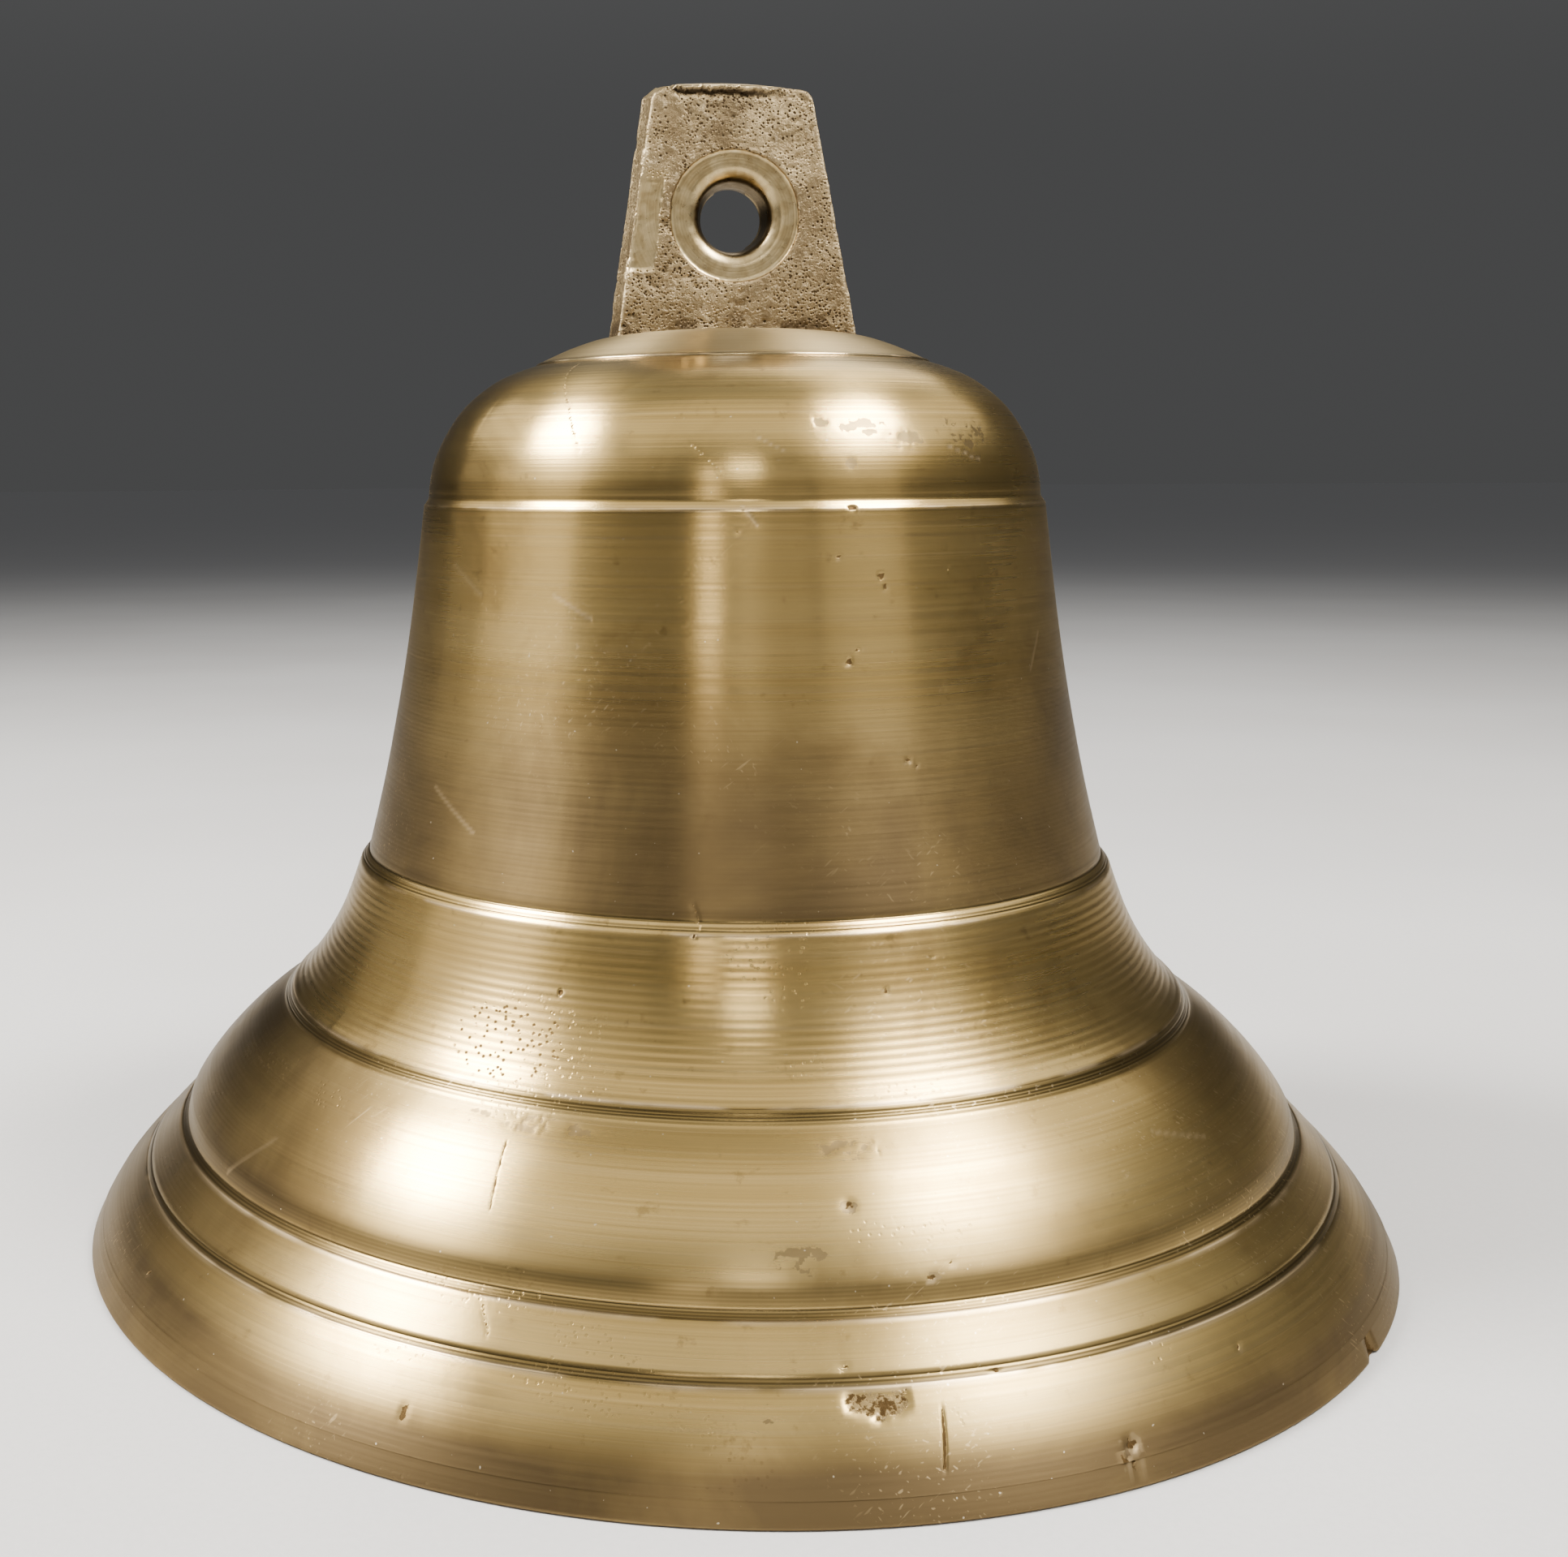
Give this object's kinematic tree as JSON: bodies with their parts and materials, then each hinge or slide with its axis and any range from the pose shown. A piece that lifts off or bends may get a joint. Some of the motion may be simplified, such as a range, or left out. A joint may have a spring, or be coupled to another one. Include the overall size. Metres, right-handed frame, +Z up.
{
  "type": "ship bell",
  "caption": "Cast and turned brass bell with a stepped, flared body, a drilled hanging lug on its crown and a pinned clapper inside.",
  "frame": {"origin": "centre of the mouth, on the plane of the rim that the bell stands on", "axes": "+Z up the bell's axis to the lug, X across the lug's width and along the clapper's swing, Y through the lug's hole and along the pivot pin"},
  "size_m": [0.2, 0.2, 0.1723],
  "materials": {
    "turned_brass": "turned and dulled, with olive and brown tarnish",
    "fitting_brass": "machined, dulled",
    "ball_brass": "turned, worn bright where it strikes",
    "stainless": "drawn and machined"
  },
  "bodies": {
    "bell": {"bell_casting": "turned_brass", "staple_washer": "fitting_brass", "staple_nut": "fitting_brass", "crown_staple": "fitting_brass", "pivot_pin": "stainless", "pivot_washer": "stainless", "split_pin": "stainless"},
    "clapper": {"clapper_shank": "fitting_brass", "ball_nut": "fitting_brass", "clapper_ball": "ball_brass", "lanyard_eye": "fitting_brass"}
  },
  "joints": [
    {"name": "clapper_swing", "type": "hinge", "parent": "bell", "child": "clapper", "pos_m": [0, 0, 0.109], "axis": [0, 1, 0], "range_deg": [-31.6, 31.6]}
  ]
}
